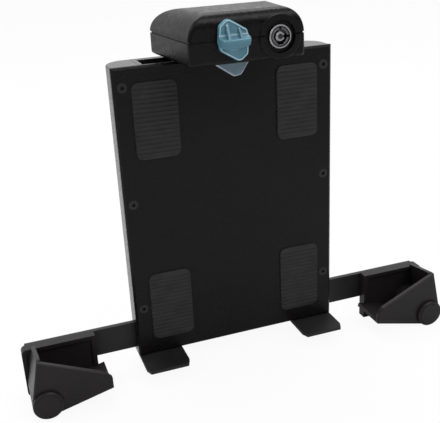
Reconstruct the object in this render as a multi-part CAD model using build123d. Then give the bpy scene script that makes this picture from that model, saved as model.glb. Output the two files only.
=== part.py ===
from build123d import *
from math import acos, atan2, cos, degrees, radians, sin
import os

os.makedirs("parts", exist_ok=True)

# A holder that locks a cased tablet of about ten inches. The tablet stands upright
# in front of a flat housing. Two corner cups carry its lower corners, two ledges
# stop it sagging, and a sprung head closes over its top edge. A knob on the head
# swings a paddle down in front of the tablet. A key in the head pushes a bolt into
# a rack in the housing, so that the head cannot be lifted.
# The origin is the centre of the mounting holes on the back face. X runs to the
# right, Y away from the viewer and Z up. The back face is y = 0, and every other
# depth is negative. Sizes are in millimetres.

# General walls and clearances
slip = 0.1            # between flat faces that slide or drop in
gap = 0.3             # between parts that must never meet
shaft_play = 0.05     # radial, a shaft in its hole
reach = 1.0           # how far a cutting solid overshoots a face
quarter = 90.0        # degrees

# Housing behind the tablet
housing_width = 132.0
housing_depth = 24.0
housing_top = 89.0
housing_bottom = -90.3
housing_wall = 3.0
housing_corner = 12.0
housing_edge = 1.0
channel_wall = 3.0
chamber_width = 10.0
cover_thickness = 3.0
cover_bevel = 1.2

# Fixing posts for the cover, on both sides, and their screws
post_radius = 3.2
post_heights = (-58.0, 10.0, 78.0)
post_sunk = 0.8
post_rear = -8.0
cover_screw_radius = 1.4
cover_screw_head_radius = 2.8
cover_screw_length = 12.0

# Rubber pads that the tablet's back rests on
pad_width = 26.0
pad_height = 44.0
pad_inset = 23.0
pad_z = 58.0
pad_proud = 1.2
pad_pocket = 0.6
pad_corner = 4.0

# Mounting boss with four threaded inserts
mount_spacing_x = 38.1
mount_spacing_z = 30.2
mount_hole_radius = 2.1
insert_radius = 3.6
insert_length = 10.0
boss_half_width = 28.0
boss_low = -24.0
boss_high = 22.0
boss_depth = 12.0

# Steel bar that crosses the housing and carries the corner cups
bar_thickness = 3.0
bar_front = -17.0
bar_low = -87.0
bar_high = -69.5
bar_flare_inset = 39.6
bar_flare_low = -96.5
bar_post_x = 40.0
bar_post_radius = 5.0
bar_screw_radius = 2.0
bar_screw_head_radius = 3.8
bar_screw_head_height = 2.0

# Corner cups. Points are taken from the centre of the corner post, inboard and up.
post_spacing = 252.2
post_z = -91.2
cup_post_radius = 8.7
cup_front = -49.5
cup_plate = 2.8
cup_wall = 2.4
cup_point_top = (-2.9, 28.2)
cup_point_slope_end = (34.9, 11.1)
cup_point_nose = (38.2, 7.2)
cup_point_foot = (38.3, 0.3)
cup_wall_drop = 4.2
cup_post_proud = 2.2
cup_cap_radius = 7.2
cup_cap_sunk = 1.6
cup_cap_proud = 0.5
cup_bolt_radius = 3.0
cup_bolt_length = 22.0
cup_bolt_head_radius = 5.0
cup_bolt_head_height = 3.5
liner_thickness = 1.0
liner_margin = 3.0

# Rear block behind each cup
block_overhang = 9.5
block_width = 43.6
block_top = -68.5
block_bottom = -100.2
block_front = -24.0
block_rim = 2.5
block_recess = 1.2
block_corner = 3.0
block_screw_inset = (21.6, 35.6)
block_screw_z = -77.0
block_screw_radius = 2.0
block_screw_depth = 4.5

# Ledges under the tablet
ledge_width = 27.2
ledge_inset = 0.5
ledge_front = -43.4
ledge_taper_length = 4.4
ledge_taper = 1.8
ledge_thickness = 2.0
ledge_rear = -5.0
ledge_screw_radius = 1.6
ledge_screw_head_radius = 3.0
ledge_screw_head_height = 1.6
ledge_screw_length = 5.0

# Slide that runs in the housing
slide_side_play = 0.2
slide_back_play = 0.5
slide_front_play = 0.5
slide_wall = 2.5
slide_bottom = 28.0
stop_pad_width = 14.0
stop_pad_x = 14.0
travel = 40.0

# Return springs between the slide and the housing
spring_inset = 9.3
spring_y = -13.5
spring_radius = 4.0
spring_wire = 1.0
spring_pin_radius = 2.0
spring_hook_play = 0.3
spring_pin_end = -16.6
spring_pin_sunk = 1.5
spring_top_rise = 3.5
spring_low = -56.0

# Head above the housing
head_front = -59.0
head_rear = -2.0
head_front_half = 32.0
head_rear_half = 37.0
head_bottom = 91.0
head_top = 117.0
seam = 103.4
head_side_roll = 12.5
head_front_roll = (5.5, 7.5)
head_rear_roll = 24.0
head_foot_round = 2.0
head_corner_round = 2.0
head_inner_round = 0.4
head_wall = 2.2
seam_groove = 0.6
seam_gap = 1.0
head_screw_front = (28.3, -53.9)
head_screw_rear = (30.2, -7.6)
head_post_radius = 2.4
head_screw_radius = 1.0
head_screw_head_radius = 1.9
head_screw_head_height = 1.2
head_screw_length = 16.0

# Steel bracket that joins the head to the slide
bracket_half_width = 25.0
bracket_thickness = 3.0
bracket_shelf = 2.0
bracket_low = 50.0
bracket_high = 105.5
bracket_front = -36.0
bracket_gusset_x = (-23.0, 10.0)
bracket_gusset_reach = 20.0
bracket_gusset_rise = 11.0
bracket_gusset = 2.0
bracket_screw_x = 16.0
bracket_screw_z = (58.0, 76.0)
bracket_screw_radius = 2.0
bracket_screw_head_radius = 3.6
bracket_screw_head_height = 2.0
rivet_x = (-17.0, 4.0)
rivet_y = (-31.0, -14.0)
rivet_radius = 1.5
rivet_head_radius = 2.7
rivet_head_height = 1.2

# Rubber pad under the head
head_pad_front = -45.0
head_pad_rear = -27.0
head_pad_half_width = 27.0
head_pad_thickness = 1.2

# Knob on the head and the paddle that its shaft carries
knob_x = -8.7
knob_z = 103.3
knob_stand_off = 0.3
knob_plate = 2.4
knob_bevel = 0.35
knob_lip = 0.9
knob_recess = 0.5
knob_points = ((-3.0, 11.3), (7.4, 5.0), (8.3, 0.3), (7.5, -7.6))
knob_corner_radii = (3.4, 2.4, 1.5, 2.2)
blade_reach = 5.0
blade_top = 1.0
blade_lip = 1.2
blade_hollow = 3.6
blade_foot = -5.4
blade_keel = -5.0
blade_keel_radius = 15.0
blade_root_half = 8.3
blade_tip_half = 7.4
rib_x = (-3.4, 3.1)
rib_thicknesses = (1.3, 1.0)
rib_tops = (8.6, 6.4)
nub_x = 8.4
nub_z = (0.8, -1.6)
nub_radius = 0.8
nub_proud = 0.4
shaft_seat = 1.1
shaft_radius = 3.0
shaft_rear = -45.0
bush_radius = 4.5
bush_flange_radius = 5.6
bush_flange = 1.2
paddle_front = -50.5
paddle_thickness = 2.5
paddle_hub_radius = 6.0
paddle_hub_length = 4.0
paddle_points = ((-9.3, -11.9), (3.4, -20.7), (7.6, -20.2), (12.9, -12.5))
paddle_corner_radii = (0.8, 2.4, 3.4, 1.0)
paddle_rim = 0.7
paddle_swing = 19.6
paddle_slot_right = 13.9
washer_thickness = 0.8
washer_radius = 5.0
clip_thickness = 0.8
clip_radius = 4.6

# Key lock in the head
lock_x = 17.8
lock_z = 102.4
lock_face = -59.7
lock_face_radius = 6.2
lock_barrel_radius = 5.6
lock_rear = -38.0
lock_face_bevel = 0.25
lock_face_rim = 0.8
lock_face_sunk = 0.4
lock_bore = 3.7
lock_recess_radius = 8.5
lock_recess = 1.3
lock_collar_radius = 11.8
lock_collar_proud = 0.8
lock_collar_depth = 8.0
lock_nut_room = 17.0
lock_nut_radius = 7.4
lock_nut_thickness = 3.0
keyway_depth = 5.2
key_post_radius = 2.6
key_post_sunk = 0.2
key_post_bevel = 0.4
key_post_dimple = 1.6
key_dimple_depth = 0.35
key_notch_width = 1.3
key_notch_end = 5.2
key_notch_root = 1.5
key_slot_height = 0.8
key_slot_half_width = 1.6
tail_radius = 2.0
crank_radius = 5.0
crank_front = -22.5
crank_thickness = 2.3
crank_pin_radius = 1.5
crank_pin_end = -16.6
crank_rest_angle = 45.0

# Lock bar and bolt inside the slide
lock_bar_front = -19.5
lock_bar_thickness = 2.5
lock_bar_half_width = 4.0
lock_bar_x = 22.3
lock_bar_head_rise = 4.0
lock_bar_foot_margin = 4.0
lock_bar_foot_drop = 4.0
lock_bar_foot_rise = 4.6
bolt_z = 40.5
bolt_half_height = 1.5
bolt_front = -14.5
bolt_rear = -10.5
bolt_pin_inset = 14.3
bolt_pin_radius = 1.4
bolt_pin_end = -20.0
bolt_tail = 3.0
bolt_tip_back = 0.6
bolt_travel = 6.0
bolt_play = 0.1
pin_slot_play = 0.25
guide_length = 6.3
guide_half_height = 5.0
guide_front = -16.5

# Rack in the housing that the bolt enters
rack_thickness = 2.5
rack_pitch = 5.0
rack_window_half_height = 1.9
rack_window_play = 0.7
rack_low = 31.5
rack_high = 85.8
rack_front = -19.0
rack_rear = -6.0
rack_screw_radius = 1.0
rack_screw_head_radius = 1.6
rack_screw_head_height = 1.2
rack_screw_z = (34.5, 84.3)

# Levels and widths that follow from the sizes above
half_width = housing_width / 2
channel_half = half_width - housing_wall - chamber_width - channel_wall
pad_x = half_width - pad_inset
post_x = post_spacing / 2
block_outer = post_x + block_overhang
block_inner = block_outer - block_width
block_screw_x = [block_outer - inset for inset in block_screw_inset]
bar_flare_start = block_outer - bar_flare_inset
ledge_outer = half_width - ledge_inset
ledge_inner = ledge_outer - ledge_width
cover_front = -housing_depth
cover_rear = cover_front + cover_thickness
floor_y = -housing_wall
chamber_inner = channel_half + channel_wall
chamber_outer = half_width - housing_wall
cover_post_x = chamber_outer - post_radius + post_sunk
slide_rear = floor_y - slide_back_play
slide_inside = slide_rear - slide_wall
slide_front = cover_rear + slide_front_play
slide_half = channel_half - slide_side_play
slide_inner_half = slide_half - slide_wall
spring_x = slide_inner_half - spring_inset
bolt_pin_x = slide_inner_half - bolt_pin_inset
bolt_tip = slide_half - bolt_tip_back
guide_left = slide_inner_half - guide_length
lock_bar_foot_right = bolt_pin_x + bolt_travel + lock_bar_foot_margin
bar_rear = bar_front + bar_thickness
bar_middle = (bar_low + bar_high) / 2
block_rear = bar_front
spring_high = slide_bottom + spring_top_rise
spring_seat = floor_y + spring_pin_sunk
bracket_rear = slide_inside
bracket_face = bracket_rear - bracket_thickness
head_floor = head_bottom + head_wall
knob_rear = head_front - knob_stand_off
knob_front = knob_rear - knob_plate
knob_face = knob_front + knob_recess
washer_front = head_front + head_wall + bush_flange + slip
lock_bar_rear = lock_bar_front + lock_bar_thickness
crank_rear = crank_front + crank_thickness
crank_pin_x = lock_x + crank_radius * cos(radians(crank_rest_angle))
crank_pin_z = lock_z + crank_radius * sin(radians(crank_rest_angle))
lock_bar_travel = 2 * crank_radius * sin(radians(crank_rest_angle))
rack_inner = chamber_inner
rack_outer = rack_inner + rack_thickness
rack_middle = (rack_front + rack_rear) / 2
sides = (-1, 1)


# Helpers for plain shapes
def span(x, y, z):
    """Box between two values on each axis."""
    size = [abs(pair[1] - pair[0]) for pair in (x, y, z)]
    middle = [(pair[0] + pair[1]) / 2 for pair in (x, y, z)]
    return Pos(*middle) * Box(*size)


def both(side, inner, outer):
    """Pair of x values on one side, mirrored when the side is -1."""
    return (side * inner, side * outer)


def rod_y(x, z, radius, start, end):
    """Round rod along Y."""
    middle = Pos(x, (start + end) / 2, z) * Rot(90, 0, 0)
    return middle * Cylinder(radius, abs(end - start))


def rod_z(x, y, radius, start, end):
    """Round rod along Z."""
    return Pos(x, y, (start + end) / 2) * Cylinder(radius, abs(end - start))


def rod_x(y, z, radius, start, end):
    """Round rod along X."""
    middle = Pos((start + end) / 2, y, z) * Rot(0, 90, 0)
    return middle * Cylinder(radius, abs(end - start))


def at_lock(radius, front, rear):
    """Round rod on the lock's axis."""
    return rod_y(lock_x, lock_z, radius, front, rear)


def at_knob(radius, front, rear):
    """Round rod on the knob's axis."""
    return rod_y(knob_x, knob_z, radius, front, rear)


def front_rim(body):
    """Round edge of a body that lies nearest the viewer."""
    return body.edges().filter_by(GeomType.CIRCLE).sort_by(Axis.Y)[0]


def cone_y(x, z, front_radius, rear_radius, front, rear):
    """Cone along Y, given by its radius at the front and at the rear."""
    middle = Pos(x, (front + rear) / 2, z) * Rot(90, 0, 0)
    return middle * Cone(rear_radius, front_radius, rear - front)


def prism_y(face, front, rear):
    """Flat XZ outline carried along Y, from the front to the rear."""
    plane = Plane.XZ.offset(-rear)
    return extrude(plane * face, amount=rear - front)


def prism_x(points, start, end):
    """Outline of (y, z) points carried along X."""
    face = make_face(Polyline(*points, close=True))
    return extrude(Plane.YZ.offset(start) * face, amount=end - start)


def outline(points):
    """Flat face inside a closed run of straight lines."""
    return make_face(Polyline(*points, close=True))


def rounded_outline(points, radii):
    """Flat face whose corners are rounded, each with its own radius."""
    face = outline(points)
    for point, radius in zip(points, radii):
        corner = face.vertices().sort_by_distance(Vector(*point))[0]
        face = fillet(corner, radius)
    return face


def tangent_point(point, radius, turn):
    """Where a line from a point meets a circle at the origin; turn picks the side."""
    length = Vector(*point).length
    angle = atan2(point[1], point[0]) + turn * acos(radius / length)
    return (radius * cos(angle), radius * sin(angle))


def strip(start, end, width):
    """Straight strip between two points, lying on the left of its line."""
    run = Vector(*end) - Vector(*start)
    side = Vector(-run.Y, run.X).normalized() * width
    corners = [start, end, (end[0] + side.X, end[1] + side.Y)]
    corners.append((start[0] + side.X, start[1] + side.Y))
    return outline(corners)


def slot_face(start, end, radius):
    """Flat face of a slot with round ends."""
    centres = Vector(*start), Vector(*end)
    run = centres[1] - centres[0]
    middle = (centres[0] + centres[1]) / 2
    turn = degrees(atan2(run.Y, run.X))
    return Pos(middle.X, middle.Y) * Rot(0, 0, turn) * SlotCenterToCenter(run.length, 2 * radius)


def screw_y(x, z, radius, length, head_radius, head_height, seat, way):
    """Pan-head screw along Y. The head stands off its seat against way, the shank runs along way."""
    shank = rod_y(x, z, radius, seat, seat + way * length)
    head = rod_y(x, z, head_radius, seat, seat - way * head_height)
    crown = head.edges().filter_by(GeomType.CIRCLE).sort_by(Axis.Y)
    crown = crown[0] if way > 0 else crown[-1]
    socket = rod_y(x, z, head_radius * 0.42, seat - way * head_height, seat - way * head_height * 0.4)
    return shank + fillet(crown, head_height * 0.35) - socket


# Housing and what is fixed to it
def cover_posts():
    """Centres of the posts that take the cover's screws."""
    return [(side * cover_post_x, z) for side in sides for z in post_heights]


def bar_slot(play):
    """Room for the cross bar, open to the front."""
    x = (-half_width - reach, half_width + reach)
    return span(x, (cover_rear - reach, bar_rear + play), (bar_low - play, bar_high + play))


def rear_housing():
    """Deep rear shell with the channel for the slide and a chamber at each side."""
    body = span((-half_width, half_width), (cover_rear, 0), (housing_bottom, housing_top))
    body = fillet(body.edges().filter_by(Axis.Z).group_by(Axis.Y)[-1], housing_corner)
    rims = body.edges().group_by(Axis.Z)
    front_lines = [e for rim in (rims[0], rims[-1]) for e in rim if e.center().Y < cover_rear + slip]
    body = fillet([e for rim in (rims[0], rims[-1]) for e in rim if e not in front_lines], housing_edge)
    low = housing_bottom + housing_wall
    deep = (cover_rear - reach, floor_y)
    body -= span((-channel_half, channel_half), deep, (low, housing_top + reach))
    for side in sides:
        x = both(side, chamber_inner, chamber_outer)
        chamber = span(x, deep, (low, housing_top - housing_wall))
        corner = chamber.edges().filter_by(Axis.Z).group_by(Axis.Y)[-1].sort_by(Axis.X)
        corner = corner[-1] if side > 0 else corner[0]
        body -= fillet(corner, housing_corner - housing_wall)
    boss = span((-boss_half_width, boss_half_width), (-boss_depth, floor_y), (boss_low, boss_high))
    body += fillet(boss.edges().filter_by(Axis.Y), housing_wall)
    for side in sides:
        body += rod_y(side * bar_post_x, bar_middle, bar_post_radius, bar_rear, floor_y)
    body -= bar_slot(0)
    for x, z in cover_posts():
        body += rod_y(x, z, post_radius, cover_rear, post_rear)
    for x, z in cover_posts():
        body -= rod_y(x, z, cover_screw_radius, cover_rear - reach, cover_front + cover_screw_length)
    for x, z in mount_points():
        body -= rod_y(x, z, insert_radius, -insert_length, reach)
    for side in sides:
        body -= rod_y(side * bar_post_x, bar_middle, bar_screw_radius, bar_rear - reach, floor_y - slip)
        body -= rod_y(side * spring_x, spring_low, spring_pin_radius, floor_y - reach, spring_seat)
    window_z = (bolt_z - rack_window_half_height, bolt_z + travel + rack_window_half_height)
    window_y = (bolt_front - rack_window_play, bolt_rear + rack_window_play)
    body -= span((channel_half - reach, rack_inner + reach), window_y, window_z)
    for z in rack_screw_z:
        body -= rod_x(rack_middle, z, rack_screw_radius, channel_half - reach, chamber_inner + reach)
    for x, y in ledge_screw_points():
        body -= rod_z(x, y, ledge_screw_radius, housing_bottom - reach, low)
    return body


def mount_points():
    """Centres of the four mounting holes."""
    return [(sx * mount_spacing_x / 2, sz * mount_spacing_z / 2) for sx in sides for sz in sides]


def mount_inserts():
    """Threaded brass inserts, flush with the back face."""
    inserts = []
    for x, z in mount_points():
        body = rod_y(x, z, insert_radius, -insert_length, 0)
        inserts.append(body - rod_y(x, z, mount_hole_radius, -insert_length - reach, reach))
    return inserts


def pad_centres():
    """Centres of the four rubber pads on the cover."""
    return [(sx * pad_x, sz * pad_z) for sx in sides for sz in sides]


def pad_prism(x, z, front, rear):
    """One pad's rounded outline as a solid."""
    face = Pos(x, z) * RectangleRounded(pad_width, pad_height, pad_corner)
    return prism_y(face, front, rear)


def front_cover():
    """Flat cover that closes the housing, with tabs that clamp the cross bar."""
    body = span((-half_width, half_width), (cover_front, cover_rear), (housing_bottom, housing_top))
    body = chamfer(body.faces().sort_by(Axis.Y)[0].edges(), cover_bevel)
    for x, z in pad_centres():
        body -= pad_prism(x, z, cover_front - reach, cover_front + pad_pocket)
    for x, z in cover_posts():
        drop = cover_screw_head_radius - cover_screw_radius
        body -= rod_y(x, z, cover_screw_radius, cover_front - reach, cover_rear + reach)
        sink = (cover_screw_head_radius, cover_screw_radius, cover_front, cover_front + drop)
        body -= cone_y(x, z, *sink)
    for side in sides:
        for x in ((channel_half, chamber_inner), (chamber_outer, half_width)):
            tab_z = (bar_low + slip, bar_high - slip)
            body += span(both(side, *x), (cover_rear, bar_front), tab_z)
    return body


def cover_screws():
    """Countersunk screws that hold the cover."""
    screws = []
    drop = cover_screw_head_radius - cover_screw_radius
    for x, z in cover_posts():
        shank = rod_y(x, z, cover_screw_radius, cover_front + drop, cover_front + cover_screw_length)
        head = cone_y(x, z, cover_screw_head_radius, cover_screw_radius, cover_front, cover_front + drop)
        socket = rod_y(x, z, cover_screw_radius * 0.8, cover_front - reach, cover_front + drop)
        screws.append(shank + head - socket)
    return screws


def back_pads():
    """Rubber pads set into the cover's front."""
    pads = []
    for x, z in pad_centres():
        pad = pad_prism(x, z, cover_front - pad_proud, cover_front + pad_pocket)
        pads.append(fillet(pad.faces().sort_by(Axis.Y)[0].edges(), pad_proud / 2))
    return pads


def ledge_screw_points():
    """Centres of the screws that hold the ledges, as (x, y)."""
    middle = (ledge_inner + ledge_outer) / 2
    spread = (chamber_inner + chamber_outer) / 2 - middle
    centres = [middle + spread, (ledge_inner + channel_half) / 2]
    return [(side * x, (cover_rear + floor_y) / 2) for side in sides for x in centres]


def bottom_ledge():
    """Flat steel ledge under the housing that reaches forward below the tablet."""
    taper_start = ledge_front + ledge_taper_length
    points = [(ledge_inner, ledge_rear), (ledge_inner, taper_start)]
    points += [(ledge_inner + ledge_taper, ledge_front), (ledge_outer - ledge_taper, ledge_front)]
    points += [(ledge_outer, taper_start), (ledge_outer, ledge_rear)]
    face = outline([(-x, y) for x, y in points])
    body = extrude(Plane.XY.offset(housing_bottom - ledge_thickness) * face, amount=ledge_thickness)
    for x, y in ledge_screw_points():
        low = housing_bottom - ledge_thickness - reach
        body -= rod_z(x, y, ledge_screw_radius, low, housing_bottom + reach)
    return body


def ledge_screws():
    """Pan-head screws under the ledges."""
    seat = housing_bottom - ledge_thickness
    screws = []
    for x, y in ledge_screw_points():
        shank = rod_z(x, y, ledge_screw_radius, seat, seat + ledge_screw_length)
        head = rod_z(x, y, ledge_screw_head_radius, seat - ledge_screw_head_height, seat)
        rim = head.edges().filter_by(GeomType.CIRCLE).sort_by(Axis.Z)[0]
        screws.append(shank + fillet(rim, ledge_screw_head_height / 2))
    return screws


def cross_bar():
    """Flat steel bar through the housing, flared at both ends to carry the cups."""
    half = []
    outer = block_outer - block_rim
    half += [(bar_flare_start, bar_high), (outer, bar_high), (outer, bar_flare_low)]
    half += [(bar_flare_start + (bar_low - bar_flare_low), bar_flare_low), (bar_flare_start, bar_low)]
    points = half + [(-x, z) for x, z in reversed(half)]
    body = prism_y(outline(points), bar_front, bar_rear)
    through = (bar_front - reach, bar_rear + reach)
    for side in sides:
        body -= rod_y(side * bar_post_x, bar_middle, bar_screw_radius, *through)
        body -= rod_y(side * post_x, post_z, cup_bolt_radius, *through)
        for x in block_screw_x:
            body -= rod_y(side * x, block_screw_z, block_screw_radius, *through)
    return body


def bar_screws():
    """Screws that hold the cross bar to the housing's posts."""
    size = (bar_screw_radius, floor_y - slip - bar_front, bar_screw_head_radius, bar_screw_head_height)
    return [screw_y(side * bar_post_x, bar_middle, *size, bar_front, 1) for side in sides]


# Corner cups
def cup_outline():
    """Outline of a cup's front plate, from the post's centre."""
    points = [cup_point_top, cup_point_slope_end, cup_point_nose, cup_point_foot]
    points.append(tangent_point(cup_point_foot, cup_post_radius, -1))
    points.append(tangent_point(cup_point_top, cup_post_radius, 1))
    return outline(points) + Circle(cup_post_radius)


def cup_wall_face():
    """Section of the cup's side wall, post and bottom wall, from the post's centre."""
    side_foot = tangent_point(cup_point_top, cup_post_radius, 1)
    bottom_foot = tangent_point(cup_point_foot, cup_post_radius, -1)
    walls = strip(side_foot, cup_point_top, -cup_wall) + strip(bottom_foot, cup_point_foot, cup_wall)
    return walls + Circle(cup_post_radius)


def at_left_post(face):
    """Puts a flat outline at the left corner post."""
    return Pos(-post_x, post_z) * face


def corner_cup():
    """Front plate, leaning side wall, bottom wall and corner post in one moulding."""
    plate = prism_y(at_left_post(cup_outline()), cup_front, cup_front + cup_plate)
    plate = chamfer(plate.faces().sort_by(Axis.Y)[0].edges(), cup_plate * 0.2)
    walls = prism_y(at_left_post(cup_wall_face()), cup_front + cup_plate, block_front + block_recess)
    body = plate + walls
    wall_top = post_z + cup_point_top[1]
    wedge = [(cup_front + cup_plate, wall_top), (block_front + block_recess, wall_top - cup_wall_drop)]
    wedge += [(block_front + block_recess, wall_top + reach), (cup_front + cup_plate, wall_top + reach)]
    body -= prism_x(wedge, -post_x - cup_post_radius, -post_x + cup_post_radius)
    x = -post_x
    post = rod_y(x, post_z, cup_post_radius, cup_front - cup_post_proud, cup_front)
    body += chamfer(front_rim(post), cup_plate * 0.2)
    front = cup_front - cup_post_proud
    body -= rod_y(x, post_z, cup_cap_radius, front - reach, front + cup_cap_sunk)
    body -= rod_y(x, post_z, cup_bolt_radius, bar_rear - cup_bolt_length, bar_front)
    return body


def cup_cap():
    """Round cap set into the post's front end."""
    front = cup_front - cup_post_proud
    cap = rod_y(-post_x, post_z, cup_cap_radius, front - cup_cap_proud, front + cup_cap_sunk)
    return fillet(front_rim(cap), cup_cap_proud)


def cup_liner():
    """Thin rubber liner on the inside of the front plate."""
    lean = cup_point_slope_end[0] - cup_point_top[0]
    points = [(cup_post_radius, liner_margin), (cup_wall, cup_point_top[1] - liner_margin * 2)]
    points += [(lean * 0.82, cup_point_slope_end[1] - liner_margin * 0.3)]
    points += [(cup_point_nose[0] - liner_margin, cup_point_nose[1] - liner_margin * 0.2)]
    points += [(cup_post_radius * 2, liner_margin)]
    front = cup_front + cup_plate
    return prism_y(at_left_post(outline(points)), front, front + liner_thickness)


def rear_block():
    """Rear block with a raised rim, cut to the cup's walls."""
    x = (-block_outer, -block_inner)
    body = span(x, (block_front, block_rear), (block_bottom, block_top))
    body = fillet(body.edges().filter_by(Axis.Y).sort_by(Axis.X)[:2], block_corner)
    x = (block_rim - block_outer, -block_inner - block_rim)
    z = (block_bottom + block_rim, block_top - block_rim)
    body -= span(x, (block_front - reach, block_front + block_recess), z)
    body = chamfer(body.faces().sort_by(Axis.Y)[-1].edges(), block_rim * 0.3)
    body -= prism_y(at_left_post(cup_wall_face()), block_front - reach, block_front + block_recess)
    body -= rod_y(-post_x, post_z, cup_bolt_radius, block_front - reach, block_rear + reach)
    for screw_x in block_screw_x:
        end = bar_front - block_screw_depth
        body -= rod_y(-screw_x, block_screw_z, block_screw_radius, end, block_rear + reach)
    return body


def cup_bolts():
    """Long bolts from the rear into the corner posts."""
    size = (cup_bolt_radius, cup_bolt_length, cup_bolt_head_radius, cup_bolt_head_height)
    return [screw_y(side * post_x, post_z, *size, bar_rear, -1) for side in sides]


def block_screws():
    """Screws from the rear into the blocks."""
    length = block_screw_depth + bar_thickness
    size = (block_screw_radius, length, bar_screw_head_radius, bar_screw_head_height)
    points = [side * x for side in sides for x in block_screw_x]
    return [screw_y(x, block_screw_z, *size, bar_rear, -1) for x in points]


def lock_rack():
    """Steel rack beside the channel, with a window at each step."""
    body = span((rack_inner, rack_outer), (rack_front, rack_rear), (rack_low, rack_high))
    steps = int(travel // rack_pitch) + 1
    for step in range(steps):
        z = bolt_z + step * rack_pitch
        window_z = (z - rack_window_half_height, z + rack_window_half_height)
        window_y = (bolt_front - rack_window_play, bolt_rear + rack_window_play)
        body -= span((rack_inner - reach, rack_outer + reach), window_y, window_z)
    for z in rack_screw_z:
        body -= rod_x(rack_middle, z, rack_screw_radius, rack_inner - reach, rack_outer + reach)
    return body


def rack_screws():
    """Two screws that hold the rack to the channel's wall."""
    screws = []
    for z in rack_screw_z:
        top = rack_outer + rack_screw_head_height
        shank = rod_x(rack_middle, z, rack_screw_radius, channel_half + slip, rack_outer)
        head = rod_x(rack_middle, z, rack_screw_head_radius, rack_outer, top)
        screws.append(shank + head)
    return screws


def spring_anchors():
    """Pins in the housing that hold the springs' lower hooks."""
    size = (spring_pin_radius, spring_pin_end, spring_seat)
    return [rod_y(side * spring_x, spring_low, *size) for side in sides]


def stop_pads():
    """Rubber stops that the slide comes down on."""
    pads = []
    for side in sides:
        x = (side * stop_pad_x - stop_pad_width / 2, side * stop_pad_x + stop_pad_width / 2)
        y = (slide_inside - bracket_thickness * 2, slide_rear)
        pads.append(span(x, y, (boss_high, slide_bottom - slip)))
    return pads


# Slide, bracket and head
def inner_slide():
    """Channel-shaped slide, open to the front and at both ends."""
    body = span((-slide_half, slide_half), (slide_front, slide_rear), (slide_bottom, housing_top))
    inside_x = (-slide_inner_half, slide_inner_half)
    inside_z = (slide_bottom - reach, housing_top + reach)
    body -= span(inside_x, (slide_front - reach, slide_inside), inside_z)
    window_y = (bolt_front - bolt_play, bolt_rear + bolt_play)
    window_z = (bolt_z - bolt_half_height - bolt_play, bolt_z + bolt_half_height + bolt_play)
    body -= span((slide_inner_half - reach, slide_half + reach), window_y, window_z)
    for x, z in bracket_screw_points():
        body -= rod_y(x, z, bracket_screw_radius, slide_inside - reach, slide_rear + reach)
    for side in sides:
        hook = (spring_pin_radius, slide_inside - reach, slide_rear - slip)
        body -= rod_y(side * spring_x, spring_high, *hook)
    return body


def slide_hooks():
    """Pins on the slide that hold the springs' upper hooks."""
    size = (spring_pin_radius, spring_pin_end, slide_rear - slip)
    return [rod_y(side * spring_x, spring_high, *size) for side in sides]


def return_spring():
    """Close-wound spring with a hook ring at each end."""
    x = -spring_x
    ring_centre = spring_pin_radius + spring_hook_play + spring_wire / 2
    ring_outer = ring_centre + spring_wire / 2
    low = spring_low + ring_outer
    high = spring_high - ring_outer
    coil = rod_z(x, spring_y, spring_radius, low, high)
    coil -= rod_z(x, spring_y, spring_radius - spring_wire, low + spring_wire, high - spring_wire)
    for z in (spring_low, spring_high):
        coil += Pos(x, spring_y, z) * Rot(90, 0, 0) * Torus(ring_centre, spring_wire / 2)
    for z in (low, high):
        coil += rod_z(x, spring_y, spring_wire, z - spring_wire / 2, z + spring_wire / 2)
    return coil


def bracket_screw_points():
    """Centres of the screws between the bracket and the slide, as (x, z)."""
    return [(s * bracket_screw_x, z) for s in sides for z in bracket_screw_z]


def rivet_points():
    """Centres of the rivets between the bracket and the head's floor, as (x, y)."""
    return [(x, y) for x in rivet_x for y in rivet_y]


def bar_passage(low, high):
    """Room around the lock bar where it passes through a floor."""
    x = (lock_bar_x - lock_bar_half_width - gap, lock_bar_x + lock_bar_half_width + gap)
    return span(x, (lock_bar_front - gap, lock_bar_rear + gap), (low, high))


def head_bracket():
    """Steel bracket: an upright on the slide and a shelf on the head's floor."""
    width = (-bracket_half_width, bracket_half_width)
    body = span(width, (bracket_face, bracket_rear), (bracket_low, bracket_high))
    body += span(width, (bracket_front, bracket_rear), (head_floor, head_floor + bracket_shelf))
    for x in bracket_gusset_x:
        top = head_floor + bracket_shelf
        points = [(bracket_face, top), (bracket_face - bracket_gusset_reach, top)]
        points.append((bracket_face, top + bracket_gusset_rise))
        body += prism_x(points, x, x + bracket_gusset)
    notch_x = (crank_pin_x - crank_pin_radius * 3, bracket_half_width + reach)
    notch_y = (crank_front - gap, lock_bar_rear + gap * 2)
    body -= span(notch_x, notch_y, (head_floor - reach, head_floor + bracket_shelf + reach))
    for x, z in bracket_screw_points():
        body -= rod_y(x, z, bracket_screw_radius, bracket_face - reach, bracket_rear + reach)
    for x, y in rivet_points():
        body -= rod_z(x, y, rivet_radius, head_floor - reach, head_floor + bracket_shelf + reach)
    return body


def bracket_screws():
    """Screws that hold the bracket to the slide."""
    length = bracket_thickness + slide_wall - slip
    size = (bracket_screw_radius, length, bracket_screw_head_radius, bracket_screw_head_height)
    return [screw_y(x, z, *size, bracket_face, 1) for x, z in bracket_screw_points()]


def bracket_rivets():
    """Rivets through the bracket's shelf and the head's floor."""
    rivets = []
    top = head_floor + bracket_shelf
    for x, y in rivet_points():
        rivet = rod_z(x, y, rivet_radius, head_bottom, top)
        head = rod_z(x, y, rivet_head_radius, top, top + rivet_head_height)
        rim = head.edges().filter_by(GeomType.CIRCLE).sort_by(Axis.Z)[-1]
        rivets.append(rivet + fillet(rim, rivet_head_height / 2))
    return rivets


def foot_round(inset):
    """Radius of the head's lower edges, drawn in by an inset."""
    return max(head_foot_round - inset, head_inner_round)


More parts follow.
